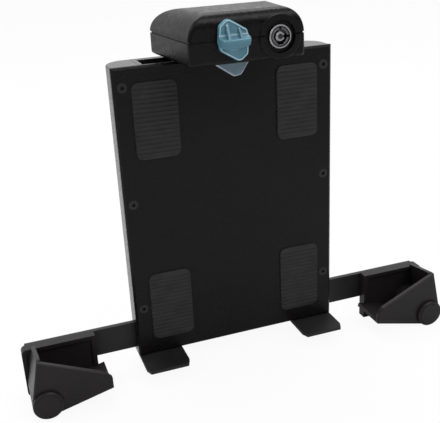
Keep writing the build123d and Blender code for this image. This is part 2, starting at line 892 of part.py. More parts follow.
def head_section(inset, half):
    """Section of the head across Y, as a closed outline, drawn in by an inset."""
    side = half - inset
    roll_x = head_side_roll - inset
    roll_z = head_top - seam - inset
    flat = side - roll_x
    foot = foot_round(inset)
    low = head_bottom + inset
    with BuildLine() as line:
        right_foot = JernArc((side - foot, low), (1, 0), foot, quarter)
        Line(right_foot @ 1, (side, seam))
        EllipticalCenterArc((flat, seam), roll_x, roll_z, 0, arc_size=quarter)
        Line((flat, seam + roll_z), (-flat, seam + roll_z))
        EllipticalCenterArc((-flat, seam), roll_x, roll_z, quarter, arc_size=quarter)
        Line((-side, seam), (-side, low + foot))
        left_foot = JernArc((-side, low + foot), (0, -1), foot, quarter)
        Line(left_foot @ 1, (side - foot, low))
    return line.wire()


def head_profile(inset):
    """Side view of the head as a solid that is wider than the head."""
    front = head_front + inset
    rear = head_rear - inset
    top = head_top - inset
    front_y, front_z = [size - inset for size in head_front_roll]
    rear_y = head_rear_roll - inset
    foot = foot_round(inset)
    low = head_bottom + inset
    with BuildLine() as line:
        rear_foot = JernArc((rear - foot, low), (1, 0), foot, quarter)
        Line(rear_foot @ 1, (rear, seam))
        EllipticalCenterArc((rear - rear_y, seam), rear_y, top - seam, 0, arc_size=quarter)
        Line((rear - rear_y, top), (front + front_y, top))
        EllipticalCenterArc((front + front_y, top - front_z), front_y, front_z, quarter, arc_size=quarter)
        Line((front, top - front_z), (front, low + foot))
        front_foot = JernArc((front, low + foot), (0, -1), foot, quarter)
        Line(front_foot @ 1, (rear - foot, low))
    face = make_face(line.wire())
    width = head_rear_half + reach
    return extrude(Plane.YZ.offset(-width) * face, amount=2 * width)


def front_corners(form):
    """Edges of the head between its front and its two sides."""
    limit = head_front + head_front_roll[0] + reach
    return [e for e in form.edges() if e.bounding_box().max.Y < limit and abs(e.center().X) > reach]


def head_form(inset):
    """Whole outer form of the head, drawn in by an inset on every side."""
    planes = [Plane.XZ.offset(-head_rear), Plane.XZ.offset(-head_front)]
    halves = (head_rear_half, head_front_half)
    sections = [make_face(plane * head_section(inset, half)) for plane, half in zip(planes, halves)]
    form = loft(sections, ruled=True) & head_profile(inset)
    corner = head_corner_round - inset
    if corner < 0:
        return form
    return fillet(front_corners(form), corner)


def head_shell(low, high):
    """Hollow part of the head between two heights, with its seam, collar and holes."""
    form = head_form(0)
    collar_rear = head_front + lock_collar_depth
    collar = at_lock(lock_collar_radius, head_front - lock_collar_proud, collar_rear)
    form += fillet(front_rim(collar), lock_collar_proud * 0.9)
    wide = (-head_rear_half - reach, head_rear_half + reach)
    deep = (head_front - 2 * reach, head_rear + reach)
    groove = span(wide, deep, (seam - seam_gap / 2, seam + seam_gap / 2)) - head_form(seam_groove)
    hollow = head_form(head_wall)
    body = form - hollow
    body += at_lock(lock_collar_radius, head_front + seam_groove, collar_rear) & form
    body -= at_lock(lock_nut_radius + slip, head_front + head_wall, head_front + lock_nut_room)
    body -= groove
    for side in sides:
        for x, y in (head_screw_front, head_screw_rear):
            body += rod_z(side * x, y, head_post_radius, head_bottom, head_top) & form
    for side in sides:
        for x, y in (head_screw_front, head_screw_rear):
            screw_top = head_bottom + head_screw_length
            body -= rod_z(side * x, y, head_screw_radius, head_bottom - reach, screw_top)
            seat = head_bottom + head_screw_head_height
            body -= rod_z(side * x, y, head_screw_head_radius, head_bottom - reach, seat)
    body -= at_lock(lock_recess_radius, head_front - 2 * reach, head_front + lock_recess)
    body -= at_lock(lock_barrel_radius, head_front - reach, head_front + 3 * head_wall)
    body -= at_knob(bush_radius, head_front - reach, head_front + 2 * head_wall)
    body -= at_knob(bush_flange_radius, head_front + head_wall, head_front + 2 * head_wall)
    return body & span(wide, deep, (low, high))


def head_lower_shell():
    """Lower shell of the head, with the paddle's slot and the passages in its floor."""
    body = head_shell(head_bottom, seam)
    floor = (head_bottom - reach, head_floor + reach)
    slot_x = (knob_x - paddle_swing, knob_x + paddle_slot_right)
    slot_y = (paddle_front - gap, paddle_front + paddle_thickness + gap)
    body -= span(slot_x, slot_y, floor)
    body -= bar_passage(*floor)
    upright = (-bracket_half_width, bracket_half_width)
    body -= span(upright, (bracket_face, bracket_rear), floor)
    for x, y in rivet_points():
        body -= rod_z(x, y, rivet_radius, *floor)
    return body


def head_upper_shell():
    """Upper shell of the head."""
    return head_shell(seam, head_top + reach)


def head_screws():
    """Screws from below that hold the two shells together."""
    screws = []
    for side in sides:
        for x, y in (head_screw_front, head_screw_rear):
            seat = head_bottom + head_screw_head_height
            shank = rod_z(side * x, y, head_screw_radius, seat, head_bottom + head_screw_length)
            head = rod_z(side * x, y, head_screw_head_radius, head_bottom + slip, seat)
            screws.append(shank + head)
    return screws


def head_pad():
    """Rubber pad under the head, above the tablet's top edge."""
    pad = span((-head_pad_half_width, head_pad_half_width), (head_pad_front, head_pad_rear),
               (head_bottom - head_pad_thickness, head_bottom))
    return fillet(pad.edges().filter_by(Axis.Z), head_pad_thickness)


def knob_bush():
    """Flanged bush in the head's front wall."""
    flange = head_front + head_wall
    rear = flange + bush_flange
    body = at_knob(bush_radius, head_front, flange) + at_knob(bush_flange_radius, flange, rear)
    return body - at_knob(shaft_radius + shaft_play, head_front - reach, rear + reach)


# Knob, shaft and paddle
def knob_outline():
    """Flat face of the knob's plate, the same when turned half round."""
    points = list(knob_points) + [(-x, -z) for x, z in knob_points]
    return rounded_outline(points, list(knob_corner_radii) * 2)


def knob_blade():
    """Grip blade: a thin front lip, hollow above it and sloping back to the plate below it."""
    front = knob_front - blade_reach
    root = knob_face + slip
    top = knob_z + blade_top
    hollow_y = knob_face - blade_hollow
    hollow_z = top + blade_hollow
    points = [(front, top), (front, top - blade_lip), (root, knob_z + blade_foot)]
    points += [(root, hollow_z), (hollow_y, hollow_z), (hollow_y, top)]
    section = outline(points) - Pos(hollow_y, hollow_z) * Circle(blade_hollow)
    start = knob_x - blade_root_half
    blade = extrude(Plane.YZ.offset(start) * section, amount=2 * blade_root_half)
    plan = [(-blade_root_half, root), (-blade_tip_half, front), (blade_tip_half, front), (blade_root_half, root)]
    face = outline([(knob_x + x, y) for x, y in plan])
    blade &= extrude(Plane.XY.offset(knob_z - blade_keel_radius) * face, amount=2 * blade_keel_radius)
    keel = Pos(knob_x, knob_z + blade_keel + blade_keel_radius) * Circle(blade_keel_radius)
    blade &= prism_y(keel, front - reach, root + reach)
    blade &= prism_y(Pos(knob_x, knob_z) * knob_outline(), front - reach, root + reach)
    return fillet(blade.faces().sort_by(Axis.Y)[0].edges(), blade_lip * 0.35)


def knob():
    """Turning knob: a rimmed plate with a grip blade across it, two ribs and two small nubs."""
    place = Pos(knob_x, knob_z)
    body = prism_y(place * knob_outline(), knob_front, knob_rear)
    body = chamfer(body.faces().sort_by(Axis.Y)[0].edges(), knob_bevel)
    body -= prism_y(place * offset(knob_outline(), -knob_lip), knob_front - reach, knob_face)
    body += knob_blade()
    front = knob_front - blade_reach + blade_lip
    for x, top, thickness in zip(rib_x, rib_tops, rib_thicknesses):
        rib = [(knob_face, knob_z + top), (knob_face, knob_z), (front, knob_z), (front, knob_z + blade_top)]
        start = knob_x + x - thickness / 2
        body += prism_x(rib, start, start + thickness)
    for z in nub_z:
        nub = rod_y(knob_x + nub_x, knob_z + z, nub_radius, knob_front - nub_proud, knob_rear)
        body += fillet(front_rim(nub), nub_proud)
    return body - at_knob(shaft_radius, knob_front + shaft_seat, knob_rear + reach)


def knob_shaft():
    """Steel shaft from the knob to the clip."""
    return at_knob(shaft_radius, knob_front + shaft_seat, shaft_rear)


def retaining_paddle():
    """Flat paddle that hangs in front of the tablet's top edge when closed."""
    place = Pos(knob_x, knob_z)
    corners = list(paddle_points) + [(paddle_hub_radius, 0), (-paddle_hub_radius, 0)]
    face = rounded_outline(corners, paddle_corner_radii) + Circle(paddle_hub_radius)
    rear = paddle_front + paddle_hub_length
    body = prism_y(place * face, paddle_front, paddle_front + paddle_thickness)
    body = chamfer(body.faces().sort_by(Axis.Y)[0].edges(), paddle_rim)
    body += at_knob(paddle_hub_radius, paddle_front, rear)
    return body - at_knob(shaft_radius, paddle_front - reach, rear + reach)


def friction_washer():
    """Spring washer between the bush and the paddle's hub."""
    rear = washer_front + washer_thickness
    body = at_knob(washer_radius, washer_front, rear)
    return body - at_knob(shaft_radius, washer_front - reach, rear + reach)


def hub_spacer():
    """Spacer on the shaft that sets the paddle's depth."""
    front = washer_front + washer_thickness
    return at_knob(washer_radius, front, paddle_front) - at_knob(shaft_radius, front - reach, paddle_front + reach)


def shaft_clip():
    """Open clip on the shaft behind the paddle's hub."""
    front = paddle_front + paddle_hub_length
    rear = front + clip_thickness
    through = (front - reach, rear + reach)
    mouth = (knob_x - shaft_radius / 2, knob_x + shaft_radius / 2)
    body = at_knob(clip_radius, front, rear) - at_knob(shaft_radius, *through)
    return body - span(mouth, through, (knob_z, knob_z + clip_radius + reach))


# Key lock, lock bar and bolt
def lock_cylinder():
    """Fixed barrel of the key lock, with a round keyway and its notches."""
    seat = head_front + lock_recess
    body = at_lock(lock_face_radius, lock_face, seat)
    body = chamfer(front_rim(body), lock_face_bevel)
    body += at_lock(lock_barrel_radius, seat, lock_rear)
    body -= at_lock(lock_face_radius - lock_face_rim, lock_face - reach, lock_face + lock_face_sunk)
    body -= at_lock(lock_bore, lock_face - reach, lock_rear + reach)
    half = key_notch_width / 2
    deep = (lock_face - reach, lock_face + keyway_depth)
    body -= span((lock_x - half, lock_x + half), deep, (lock_z, lock_z + key_notch_end))
    body -= span((lock_x, lock_x + key_notch_end), deep, (lock_z - half, lock_z + half))
    slot_x = (lock_x - key_slot_half_width, lock_x + key_slot_half_width)
    slot_z = (lock_z - lock_bore - key_slot_height / 2, lock_z)
    return body - span(slot_x, deep, slot_z)


def lock_nut():
    """Round nut on the barrel behind the head's front wall."""
    front = head_front + head_wall
    rear = front + lock_nut_thickness
    return at_lock(lock_nut_radius, front, rear) - at_lock(lock_barrel_radius, front - reach, rear + reach)


def key_plug():
    """Turning plug with the centre post of the keyway and a tail."""
    keyway_end = lock_face + keyway_depth
    post_front = lock_face + key_post_sunk
    body = at_lock(key_post_radius, post_front, keyway_end)
    body = chamfer(front_rim(body), key_post_bevel)
    body -= at_lock(key_post_dimple, post_front - reach, post_front + key_dimple_depth)
    half = key_notch_width / 2
    notch_x = (lock_x + key_notch_root, lock_x + key_post_radius + reach)
    body -= span(notch_x, (post_front - reach, keyway_end), (lock_z - half, lock_z + half))
    body += at_lock(lock_bore - shaft_play, keyway_end, lock_rear)
    return body + at_lock(tail_radius, lock_rear, crank_front)


def crank():
    """Arm on the plug's tail with a pin that moves the lock bar."""
    start = (lock_x, lock_z)
    end = (crank_pin_x, crank_pin_z)
    body = prism_y(slot_face(start, end, tail_radius), crank_front, crank_rear)
    return body + rod_y(*end, crank_pin_radius, crank_rear, crank_pin_end)


def lock_bar():
    """Flat bar that the crank moves down, with a slanted slot that drives the bolt."""
    left = lock_bar_x - lock_bar_half_width
    right = lock_bar_x + lock_bar_half_width
    top = crank_pin_z + lock_bar_head_rise
    foot_low = bolt_z - lock_bar_foot_drop
    foot_high = bolt_z + lock_bar_travel + lock_bar_foot_rise
    points = [(left, foot_low), (lock_bar_foot_right, foot_low), (lock_bar_foot_right, foot_high)]
    points += [(right, foot_high), (right, top), (left, top)]
    face = outline(points)
    pin = (crank_pin_x, crank_pin_z)
    face -= slot_face(pin, (lock_x + crank_radius, crank_pin_z), crank_pin_radius + pin_slot_play)
    slot_end = (bolt_pin_x + bolt_travel, bolt_z + lock_bar_travel)
    face -= slot_face((bolt_pin_x, bolt_z), slot_end, bolt_pin_radius + pin_slot_play)
    return prism_y(face, lock_bar_front, lock_bar_rear)


def lock_bolt():
    """Bolt that the slanted slot pushes out into the rack."""
    x = (bolt_pin_x - bolt_tail, bolt_tip)
    body = span(x, (bolt_front, bolt_rear), (bolt_z - bolt_half_height, bolt_z + bolt_half_height))
    return body + rod_y(bolt_pin_x, bolt_z, bolt_pin_radius, bolt_pin_end, bolt_front)


def bolt_guide():
    """Guide block on the slide that the bolt runs in."""
    body = span((guide_left, slide_inner_half), (guide_front, slide_inside),
                (bolt_z - guide_half_height, bolt_z + guide_half_height))
    channel_y = (bolt_front - bolt_play, bolt_rear + bolt_play)
    channel_z = (bolt_z - bolt_half_height - bolt_play, bolt_z + bolt_half_height + bolt_play)
    return body - span((guide_left - reach, slide_inner_half + reach), channel_y, channel_z)


# Every sub-part under its own name
def all_parts():
    """Names and solids of the whole holder."""
    made = {
        "rear_housing": rear_housing(),
        "front_cover": front_cover(),
        "cover_screws": cover_screws(),
        "back_pads": back_pads(),
        "mount_inserts": mount_inserts(),
        "cross_bar": cross_bar(),
        "bar_screws": bar_screws(),
        "cup_bolts": cup_bolts(),
        "block_screws": block_screws(),
        "ledge_screws": ledge_screws(),
        "lock_rack": lock_rack(),
        "rack_screws": rack_screws(),
        "spring_anchors": spring_anchors(),
        "stop_pads": stop_pads(),
        "inner_slide": inner_slide(),
        "slide_hooks": slide_hooks(),
        "head_bracket": head_bracket(),
        "bracket_screws": bracket_screws(),
        "bracket_rivets": bracket_rivets(),
        "head_lower_shell": head_lower_shell(),
        "head_upper_shell": head_upper_shell(),
        "head_screws": head_screws(),
        "head_pad": head_pad(),
        "knob_bush": knob_bush(),
        "bolt_guide": bolt_guide(),
        "lock_cylinder": lock_cylinder(),
        "lock_nut": lock_nut(),
        "knob": knob(),
        "knob_shaft": knob_shaft(),
        "retaining_paddle": retaining_paddle(),
        "friction_washer": friction_washer(),
        "hub_spacer": hub_spacer(),
        "shaft_clip": shaft_clip(),
        "key_plug": key_plug(),
        "crank": crank(),
        "lock_bar": lock_bar(),
        "lock_bolt": lock_bolt(),
    }
    paired = {
        "corner_cup": corner_cup(),
        "cup_cap": cup_cap(),
        "cup_liner": cup_liner(),
        "rear_block": rear_block(),
        "bottom_ledge": bottom_ledge(),
        "return_spring": return_spring(),
    }
    for name, shape in paired.items():
        made[f"{name}_left"] = shape
        made[f"{name}_right"] = mirror(shape, about=Plane.YZ)
    return made


for name, shape in all_parts().items():
    solid = Compound(children=shape) if isinstance(shape, list) else shape
    export_step(solid, f"parts/{name}.step")
    print(name, round(solid.volume), "mm3")
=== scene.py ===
import logging
import math
from dataclasses import dataclass, field
from enum import Enum
from typing import Iterable, Optional, Sequence, Union

import bmesh
import bpy
from mathutils import Matrix, Vector


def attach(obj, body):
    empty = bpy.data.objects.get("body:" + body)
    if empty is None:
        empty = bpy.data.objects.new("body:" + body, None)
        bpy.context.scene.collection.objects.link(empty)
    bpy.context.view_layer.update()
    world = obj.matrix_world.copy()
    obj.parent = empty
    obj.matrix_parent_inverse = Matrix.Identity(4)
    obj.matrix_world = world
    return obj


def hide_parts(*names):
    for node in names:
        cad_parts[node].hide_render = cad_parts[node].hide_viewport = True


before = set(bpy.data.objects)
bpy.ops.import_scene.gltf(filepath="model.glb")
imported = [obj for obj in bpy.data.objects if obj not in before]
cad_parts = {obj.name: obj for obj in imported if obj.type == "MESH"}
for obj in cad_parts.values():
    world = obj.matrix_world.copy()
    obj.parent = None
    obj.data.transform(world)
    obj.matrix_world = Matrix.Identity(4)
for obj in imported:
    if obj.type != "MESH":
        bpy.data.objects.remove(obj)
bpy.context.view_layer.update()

LOG = logging.getLogger("tablet_holder")
MM = 0.001
FLAT_NORMAL = 0.99
SAME_LEVEL = 0.01
Colour = tuple[float, float, float]
Point = tuple[float, float, float]
Outline = tuple[tuple[float, float], ...]
Number = Union[float, "Value"]
Shade = Union[Colour, bpy.types.NodeSocket]


def opaque(shade: Shade) -> object:
    """Adds the alpha to a plain colour and leaves a socket as it is."""
    return (*shade, 1.0) if isinstance(shade, tuple) else shade


class Grain(Enum):
    """How coarse a moulded surface is, as bumps per metre."""

    MEDIUM = 1500.0
    COARSE = 800.0


class Axis(Enum):
    """Axes of the shared frame."""

    X = "X"
    Y = "Y"
    Z = "Z"


class Value:
    """A shader number that can be used in Python sums.

    Args:
        tree: node tree the number lives in.
        socket: output socket that gives the number.
    """

    def __init__(self, tree: "Tree", socket: bpy.types.NodeSocket) -> None:
        """Keeps the tree and the socket."""
        self.tree = tree
        self.socket = socket

    def _math(self, operation: str, *values: Number) -> "Value":
        """Adds one Math node and returns its result."""
        return self.tree.value("ShaderNodeMath", {"operation": operation}, dict(enumerate(values)))

    def __add__(self, other: Number) -> "Value":
        """Sum."""
        return self._math("ADD", self, other)

    def __sub__(self, other: Number) -> "Value":
        """Difference."""
        return self._math("SUBTRACT", self, other)

    def __rsub__(self, other: Number) -> "Value":
        """Difference from a plain number."""
        return self._math("SUBTRACT", other, self)

    def __mul__(self, other: Number) -> "Value":
        """Product."""
        return self._math("MULTIPLY", self, other)

    __radd__ = __add__
    __rmul__ = __mul__

    def root(self) -> "Value":
        """Square root."""
        return self._math("SQRT", self)

    def clamp(self, low: float, high: float) -> "Value":
        """Limits the number to a range."""
        return self._math("MINIMUM", self._math("MAXIMUM", self, low), high)

    def ramp(self, low: float, high: float) -> "Value":
        """Goes from 0 to 1 between two inputs.

        Args:
            low: input that gives 0.
            high: input that gives 1.

        Returns:
            The mapped number.
        """
        settings = {"clamp": True}
        inputs = {"Value": self, "From Min": low, "From Max": high}
        return self.tree.value("ShaderNodeMapRange", settings, inputs)


class Tree:
    """Short way to add nodes to one material or world.

    Args:
        owner: material or world whose nodes are set up.
    """

    def __init__(self, owner: Union[bpy.types.Material, bpy.types.World]) -> None:
        """Turns the owner's nodes on and keeps its two lists."""
        owner.use_nodes = True
        self.nodes = owner.node_tree.nodes
        self.links = owner.node_tree.links

    def node(
        self, kind: str, settings: Optional[dict] = None, inputs: Optional[dict] = None
    ) -> bpy.types.Node:
        """Adds a node, sets it up and feeds its sockets.

        Args:
            kind: the node's type.
            settings: properties that are set first.
            inputs: values or sockets by input name or number.

        Returns:
            The new node.
        """
        made = self.nodes.new(kind)
        for key, setting in (settings or {}).items():
            setattr(made, key, setting)
        for key, given in (inputs or {}).items():
            self.feed(made.inputs[key], given)
        return made

    def feed(self, target: bpy.types.NodeSocket, given: object) -> None:
        """Links a socket into an input, or sets the input to a plain value."""
        if isinstance(given, Value):
            self.links.new(given.socket, target)
        elif isinstance(given, bpy.types.NodeSocket):
            self.links.new(given, target)
        else:
            target.default_value = given

    def value(
        self, kind: str, settings: Optional[dict], inputs: dict, output: Union[int, str] = 0
    ) -> Value:
        """Adds a node and wraps one of its outputs as a number."""
        return Value(self, self.node(kind, settings, inputs).outputs[output])

    def place(self, kind: str = "Object") -> bpy.types.NodeSocket:
        """Place on the object in metres of the shared frame, or direction in the world."""
        return self.node("ShaderNodeTexCoord").outputs[kind]

    def along(self, axis: Axis, kind: str = "Object") -> Value:
        """One coordinate of the place or direction."""
        return self.value("ShaderNodeSeparateXYZ", None, {"Vector": self.place(kind)}, axis.value)

    def stretched(self, scale: Point) -> bpy.types.NodeSocket:
        """Place on the object, stretched along the axes."""
        inputs = {"Vector": self.place(), "Scale": scale}
        return self.node("ShaderNodeMapping", {"vector_type": "POINT"}, inputs).outputs["Vector"]

    def noise(
        self, scale: float, detail: float = 3.0, place: Optional[bpy.types.NodeSocket] = None
    ) -> Value:
        """Even noise from 0 to 1.

        Args:
            scale: features per metre.
            detail: how many finer layers are added.
            place: coordinates to use in place of the plain ones.

        Returns:
            The noise as a number.
        """
        inputs = {"Vector": place or self.place(), "Scale": scale, "Detail": detail}
        return self.value("ShaderNodeTexNoise", None, inputs, "Fac")

    def mix(self, factor: Number, first: Shade, second: Shade) -> bpy.types.NodeSocket:
        """Blends two colours, each given as numbers or as a socket."""
        mixer = self.node("ShaderNodeMix", {"data_type": "RGBA"})
        self.feed(mixer.inputs[0], factor)
        self.feed(mixer.inputs[6], opaque(first))
        self.feed(mixer.inputs[7], opaque(second))
        return mixer.outputs[2]

    def light_path(self, kind: str) -> Value:
        """Whether the ray is of one kind, as 0 or 1."""
        return self.value("ShaderNodeLightPath", None, {}, f"Is {kind} Ray")


class Surface(Tree):
    """Nodes of one new material and its surface shader.

    Args:
        name: name of the new material.
    """

    def __init__(self, name: str) -> None:
        """Makes the material."""
        self.material = bpy.data.materials.new(name)
        super().__init__(self.material)
        self.shader = self.nodes["Principled BSDF"]

    def bump(self, height: Value, strength: float, distance: float) -> None:
        """Feeds the shader's normal from a height."""
        inputs = {"Height": height, "Strength": strength, "Distance": distance}
        made = self.node("ShaderNodeBump", None, inputs)
        self.feed(self.shader.inputs["Normal"], made.outputs["Normal"])

    def surface(self, **values: object) -> None:
        """Feeds the shader's inputs, with spaces written as underscores."""
        for key, given in values.items():
            self.feed(self.shader.inputs[key.replace("_", " ")], given)


@dataclass(frozen=True)
class MouldedPlastic:
    """Plastic with a fine moulded grain and slightly uneven gloss."""

    name: str
    dark: Colour
    light: Colour
    roughness: float
    spread: float = 0.08
    grain: Grain = Grain.MEDIUM
    depth: float = 0.4
    gleam: float = 0.17
    mottle: float = 0.12
    cloud_scale: float = 45.0
    bump_distance: float = 0.0003

    def material(self) -> bpy.types.Material:
        """Builds the material."""
        tree = Surface(self.name)
        cloud = tree.noise(self.cloud_scale, 4.0)
        speck = tree.noise(self.grain.value, 2.0)
        blotch = tree.noise(self.grain.value / 2, 3.0)
        blend = (cloud * 0.4 + speck * 0.3 + blotch * 0.3).ramp(0.35, 0.65)
        gloss = cloud * self.spread * 2 + (self.roughness - self.spread)
        tree.surface(
            Base_Color=tree.mix(blend, self.dark, self.light),
            Roughness=gloss + blotch.ramp(0.35, 0.65) * self.mottle,
            Specular_IOR_Level=self.gleam,
        )
        tree.bump(speck * 0.6 + blotch * 0.4, self.depth, self.bump_distance)
        return tree.material


@dataclass(frozen=True)
class EdgedPlastic:
    """Coloured plastic with a painted highlight: its raised rims and cut edges are painted paler than its
    faces.

    The edge lies between two depths, in millimetres along Y.
    """

    name: str
    dark: Colour
    light: Colour
    # pale colour of the painted highlight on rims and edges
    edge: Colour
    edge_front: float
    edge_rear: float
    roughness: float = 0.38
    soft: float = 0.05
    gleam: float = 0.4
    cloud_scale: float = 160.0
    depth: float = 0.12
    bump_distance: float = 0.00005

    def material(self) -> bpy.types.Material:
        """Builds the material."""
        tree = Surface(self.name)
        from_front = tree.along(Axis.Y)
        behind = from_front.ramp((self.edge_front - self.soft) * MM, self.edge_front * MM)
        before = 1.0 - from_front.ramp(self.edge_rear * MM, (self.edge_rear + self.soft) * MM)
        speck = tree.noise(Grain.MEDIUM.value, 2.0)
        cloud = tree.noise(self.cloud_scale, 3.0)
        body = tree.mix((cloud * 0.7 + speck * 0.3).ramp(0.3, 0.7), self.dark, self.light)
        # painted highlight: the band between the two depths, which covers the rims and cut edges, takes the
        # pale edge colour
        edge_highlight = (behind * before * (cloud * 0.5 + 0.7)).clamp(0.0, 1.0)
        tree.surface(
            Base_Color=tree.mix(edge_highlight, body, self.edge),
            Roughness=cloud * 0.1 + (self.roughness - 0.05),
            Specular_IOR_Level=self.gleam,
        )
        tree.bump(speck, self.depth, self.bump_distance)
        return tree.material


@dataclass(frozen=True)
class CoatedSteel:
    """Sheet steel under a powder coat with an orange-peel surface."""

    name: str
    dark: Colour
    light: Colour
    roughness: float
    gleam: float = 0.25
    peel_scale: float = 900.0
    cloud_scale: float = 60.0
    depth: float = 0.35
    bump_distance: float = 0.00008

    def material(self) -> bpy.types.Material:
        """Builds the material."""
        tree = Surface(self.name)
        peel = tree.noise(self.peel_scale, 1.0)
        cloud = tree.noise(self.cloud_scale, 3.0)
        tree.surface(
            Base_Color=tree.mix(cloud.ramp(0.3, 0.7), self.dark, self.light),
            Roughness=cloud * 0.16 + (self.roughness - 0.08),
            Metallic=0.0,
            Specular_IOR_Level=self.gleam,
        )
        tree.bump(peel, self.depth, self.bump_distance)
        return tree.material


@dataclass(frozen=True)
class BrightMetal:
    """Bare or plated metal with fine lines along one axis."""

    name: str
    dark: Colour
    light: Colour
    roughness: float
    lines: Point = (1.0, 1.0, 1.0)
    depth: float = 0.1
    line_scale: float = 700.0
    cloud_scale: float = 90.0
    bump_distance: float = 0.00003

    def material(self) -> bpy.types.Material:
        """Builds the material."""
        tree = Surface(self.name)
        lines = tree.noise(self.line_scale, 4.0, tree.stretched(self.lines))
        cloud = tree.noise(self.cloud_scale, 3.0)
        tree.surface(
            Base_Color=tree.mix((lines * 0.5 + cloud * 0.5).ramp(0.3, 0.7), self.dark, self.light),
            Roughness=lines * 0.12 + (self.roughness - 0.06),
            Metallic=1.0,
        )
        tree.bump(lines, self.depth, self.bump_distance)
        return tree.material


@dataclass(frozen=True)
class LockMetal:
    """Plated lock face with painted light: a painted highlight on the rim and on the key's post, and painted
    shade in the corner beside the rim and in the post's dimple.

    Radii are in millimetres from the lock's axis.
    """

    name: str
    dark: Colour = (0.085, 0.085, 0.09)
    light: Colour = (0.17, 0.17, 0.18)
    # pale colour of the painted highlight on the rim and the key's post
    rim_highlight: Colour = (0.33, 0.33, 0.34)
    # near-black colour of the painted shade in the corner and the dimple
    recess_shade: Colour = (0.012, 0.012, 0.013)
    axis: tuple[float, float] = (17.8, 102.4)
    dimple: float = 1.45
    post: float = 2.7
    corner: tuple[float, float] = (4.75, 5.35)
    soft: float = 0.15
    cloud_scale: float = 500.0
    depth: float = 0.06
    bump_distance: float = 0.00003

    def material(self) -> bpy.types.Material:
        """Builds the material."""
        tree = Surface(self.name)
        across = tree.along(Axis.X) - self.axis[0] * MM
        upward = tree.along(Axis.Z) - self.axis[1] * MM
        radius = (across * across + upward * upward).root()
        cloud = tree.noise(self.cloud_scale, 4.0)
        # painted highlight: the key's post and the rim outside the corner take the pale rim colour
        highlight_mask = self.inside(radius, self.post) + self.outside(radius, self.corner[1])
        face = tree.mix(cloud.ramp(0.3, 0.7), self.dark, self.light)
        shade = tree.mix(highlight_mask.clamp(0.0, 1.0), face, self.rim_highlight)
        # painted shade: the corner beside the rim and the dimple in the key's post take the near-black
        # colour; the same mask also roughens them
        groove = self.outside(radius, self.corner[0]) * self.inside(radius, self.corner[1])
        shade_mask = self.inside(radius, self.dimple) + groove
        tree.surface(
            Base_Color=tree.mix((shade_mask * (cloud * 0.4 + 0.7)).clamp(0.0, 1.0), shade, self.recess_shade),
            Roughness=cloud * 0.2 + shade_mask * 0.2 + 0.16,
            Metallic=1.0,
        )
        tree.bump(cloud, self.depth, self.bump_distance)
        return tree.material

    def inside(self, radius: Value, limit: float) -> Value:
        """1 nearer to the axis than the limit, and 0 beyond it."""
        return 1.0 - radius.ramp((limit - self.soft) * MM, limit * MM)

    def outside(self, radius: Value, limit: float) -> Value:
        """1 further from the axis than the limit, and 0 nearer."""
        return radius.ramp((limit - self.soft) * MM, limit * MM)


@dataclass(frozen=True)
class SoftRubber:
    """Matt rubber with a dusty bloom."""

    name: str
    dark: Colour
    light: Colour
    roughness: float = 0.68
    gleam: float = 0.35
    dust_scale: float = 120.0
    depth: float = 0.5
    bump_distance: float = 0.00008

    def material(self) -> bpy.types.Material:
        """Builds the material."""
        tree = Surface(self.name)
        dust = tree.noise(self.dust_scale, 5.0)
        speck = tree.noise(Grain.MEDIUM.value, 2.0)
        tree.surface(
            Base_Color=tree.mix(dust.ramp(0.35, 0.75), self.dark, self.light),
            Roughness=dust * 0.1 + self.roughness,
            Specular_IOR_Level=self.gleam,
        )
        tree.bump(speck, self.depth, self.bump_distance)
        return tree.material


FINISHES = {
    "black_plastic": MouldedPlastic(
        "black_plastic", (0.0038, 0.0031, 0.0036), (0.0070, 0.0058, 0.0066), 0.26,
        grain=Grain.COARSE, gleam=0.13,
    ),
    "housing_plastic": MouldedPlastic(
        "housing_plastic", (0.0090, 0.0080, 0.0085), (0.0150, 0.0135, 0.0140), 0.18, 0.04, gleam=0.45
    ),
    "cup_plastic": MouldedPlastic(
        "cup_plastic", (0.0110, 0.0095, 0.0105), (0.0160, 0.0140, 0.0150), 0.32
    ),
    # knob and paddle: the third colour is a painted highlight on their rims and edges
    "knob_plastic": EdgedPlastic(
        "knob_plastic", (0.068, 0.172, 0.225), (0.100, 0.230, 0.300), (0.29, 0.48, 0.56), -61.80, -61.65
    ),
    "paddle_plastic": EdgedPlastic(
        "paddle_plastic", (0.105, 0.170, 0.215), (0.140, 0.215, 0.262), (0.36, 0.40, 0.46), -50.40, -40.0
    ),
    "black_steel": CoatedSteel("black_steel", (0.010, 0.010, 0.011), (0.016, 0.016, 0.017), 0.42),
    "plain_steel": BrightMetal("plain_steel", (0.46, 0.46, 0.47), (0.62, 0.62, 0.63), 0.32, (1.0, 1.0, 0.1)),
    # lock face: painted highlights on its rim and key post, painted shade in its corner and dimple
    "lock_metal": LockMetal("lock_metal"),
    "brass": BrightMetal("brass", (0.58, 0.40, 0.16), (0.76, 0.56, 0.26), 0.30, (1.0, 0.2, 1.0)),
    "rubber": SoftRubber("rubber", (0.012, 0.012, 0.012), (0.022, 0.022, 0.022)),
}


class Finishes:
    """Makes each finish once and puts it on CAD nodes and new pieces."""

    def __init__(self) -> None:
        """Starts with no material made."""
        self.made: dict[str, bpy.types.Material] = {}

    def get(self, name: str) -> bpy.types.Material:
        """Material of a finish, made on its first use."""
        if name not in self.made:
            self.made[name] = FINISHES[name].material()
        return self.made[name]

    def dress(self, obj: bpy.types.Object, name: str) -> None:
        """Replaces every material slot of an object by one finish."""
        obj.data.materials.clear()
        obj.data.materials.append(self.get(name))


